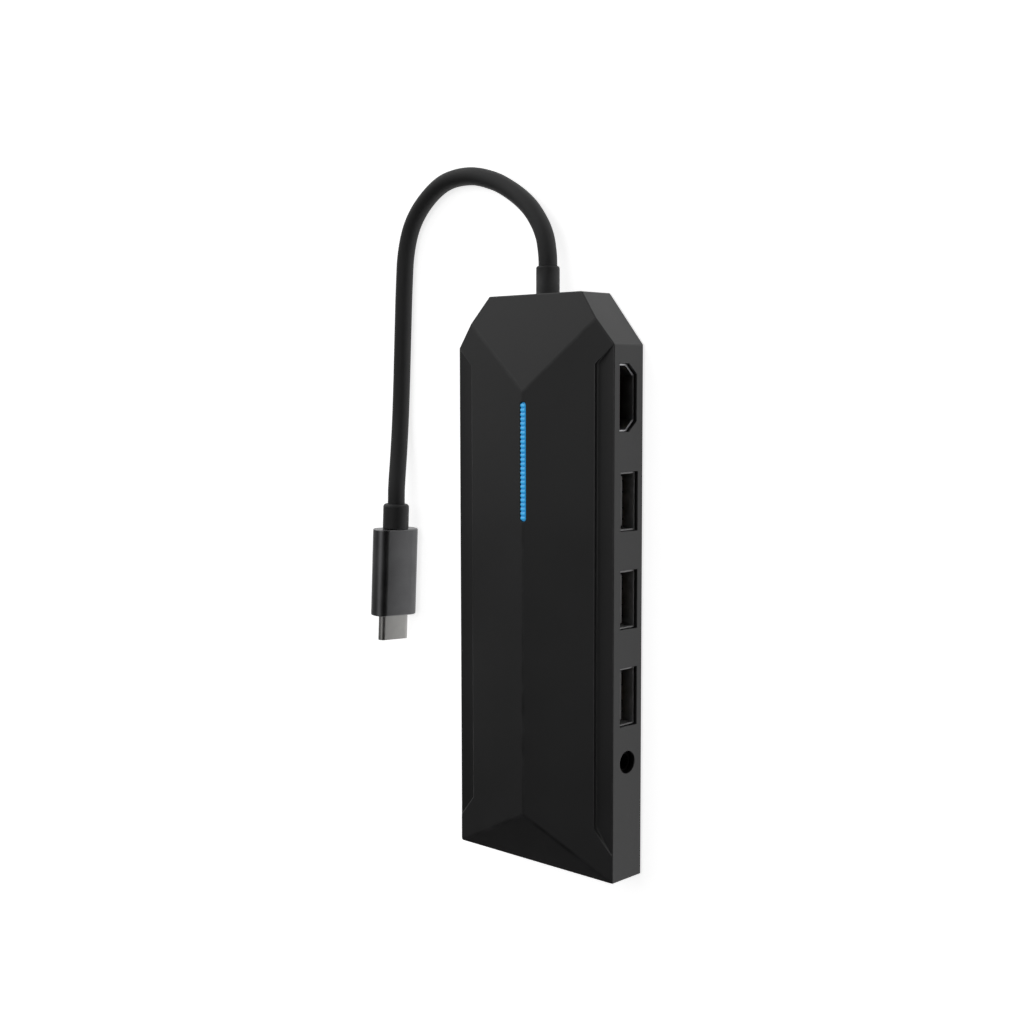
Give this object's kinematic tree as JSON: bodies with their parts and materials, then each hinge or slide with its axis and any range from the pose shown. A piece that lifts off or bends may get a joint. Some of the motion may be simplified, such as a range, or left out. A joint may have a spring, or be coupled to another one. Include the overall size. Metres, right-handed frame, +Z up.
{
  "type": "laptop docking station",
  "caption": "Slim faceted laptop docking hub with video, USB and audio sockets along one side, a blue light bar on its ridge and a short captive cord ending in a USB-C plug.",
  "frame": {"origin": "on the surface that the feet stand on, under the middle of the casing", "axes": "+X towards the side with the sockets, +Y along the length towards the end that the cord leaves, +Z up out of the face with the light bar"},
  "size_m": [0.0824, 0.1662, 0.0146],
  "materials": {
    "casing": "fine matte texture",
    "screw_steel": "machined",
    "foot_rubber": "matte",
    "light_blue": "translucent, lit from behind",
    "led_white": "satin",
    "board_green": "solder mask",
    "flex_amber": "satin film",
    "socket_ivory": "satin",
    "chip_black": "matte",
    "can_metal": "satin",
    "capacitor_tan": "satin",
    "inductor_grey": "matte",
    "pad_blue": "soft matte",
    "socket_steel": "bright plated",
    "socket_plastic": "matte",
    "contact_gold": "polished",
    "cord_moulding": "satin",
    "cord_jacket": "satin",
    "wire_red": "satin",
    "housing_grey": "fine blasted and anodised",
    "plug_steel": "bright plated"
  },
  "bodies": {
    "root": {"top_cover": "casing", "bottom_cover": "casing", "cover_screws": "screw_steel", "rubber_feet": "foot_rubber", "light_lens": "light_blue", "light_holder": "socket_plastic", "leds": "led_white", "light_board": "board_green", "light_board_screws": "screw_steel", "light_flex": "flex_amber", "flex_socket": "socket_ivory", "main_board": "board_green", "hub_chip": "chip_black", "video_chip": "chip_black", "audio_chip": "chip_black", "power_chip": "chip_black", "crystal": "can_metal", "capacitors": "capacitor_tan", "resistors": "chip_black", "inductors": "inductor_grey", "thermal_pad": "pad_blue", "shield_cover": "can_metal", "hdmi_shell": "socket_steel", "hdmi_tongue": "socket_plastic", "hdmi_contacts": "contact_gold", "usb_shell_1": "socket_steel", "usb_shell_2": "socket_steel", "usb_shell_3": "socket_steel", "usb_tongue_1": "socket_plastic", "usb_tongue_2": "socket_plastic", "usb_tongue_3": "socket_plastic", "usb_contacts_1": "contact_gold", "usb_contacts_2": "contact_gold", "usb_contacts_3": "contact_gold", "audio_body": "socket_plastic", "audio_contacts": "contact_gold", "strain_relief": "cord_moulding", "cord_inner_end": "cord_jacket", "cord_wires": "wire_red", "cord": "cord_jacket", "plug_sleeve": "cord_moulding", "plug_housing": "housing_grey", "plug_core": "socket_plastic", "plug_shell": "plug_steel", "plug_insulator": "socket_plastic", "plug_contacts": "contact_gold", "plug_board": "board_green"}
  },
  "joints": []
}
